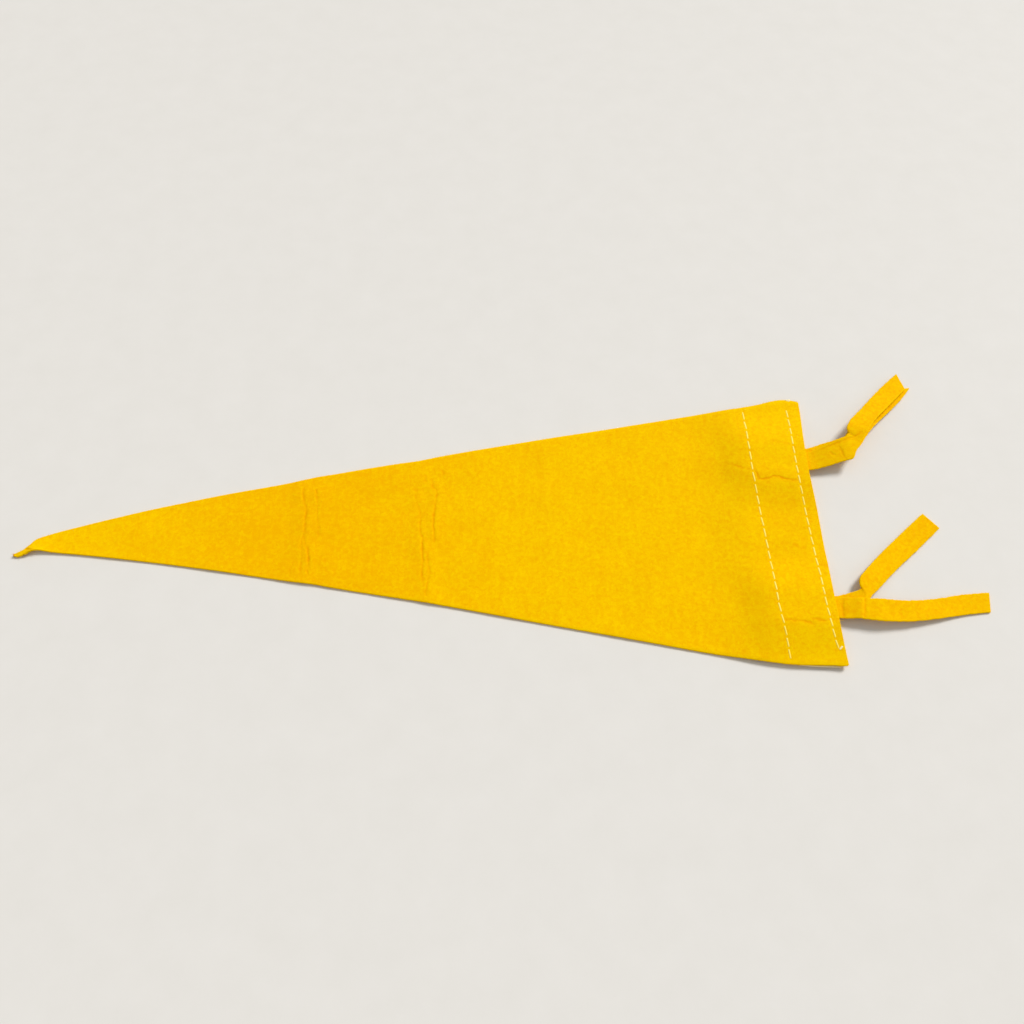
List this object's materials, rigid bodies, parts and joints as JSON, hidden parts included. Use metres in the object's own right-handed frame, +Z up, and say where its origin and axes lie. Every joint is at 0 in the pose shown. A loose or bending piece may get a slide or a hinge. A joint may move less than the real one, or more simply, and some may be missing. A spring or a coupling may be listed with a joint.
{
  "type": "felt pennant flag with ties",
  "caption": "Long three-cornered felt pennant lying flat, with a sewn heading strip behind its hoist edge and folded felt ties held in it.",
  "frame": {"origin": "middle of the footprint, on the surface the pennant lies on", "axes": "+X from the tip to the hoist edge and the ties, +Y to the long edge that is at the top of the picture, +Z up from the surface"},
  "size_m": [0.462, 0.163, 0.0085],
  "materials": {
    "felt": "matt pressed wool felt, golden yellow, soft fibres at the cut edges",
    "felt_back": "matt pressed wool felt, golden yellow",
    "tie_felt": "matt pressed wool felt, golden yellow, creased where it was folded",
    "thread": "cream sewing thread with a slight sheen"
  },
  "bodies": {
    "root": {"pennant": "felt", "heading_strip": "felt_back", "upper_tie": "tie_felt", "lower_tie": "tie_felt"}
  },
  "joints": []
}
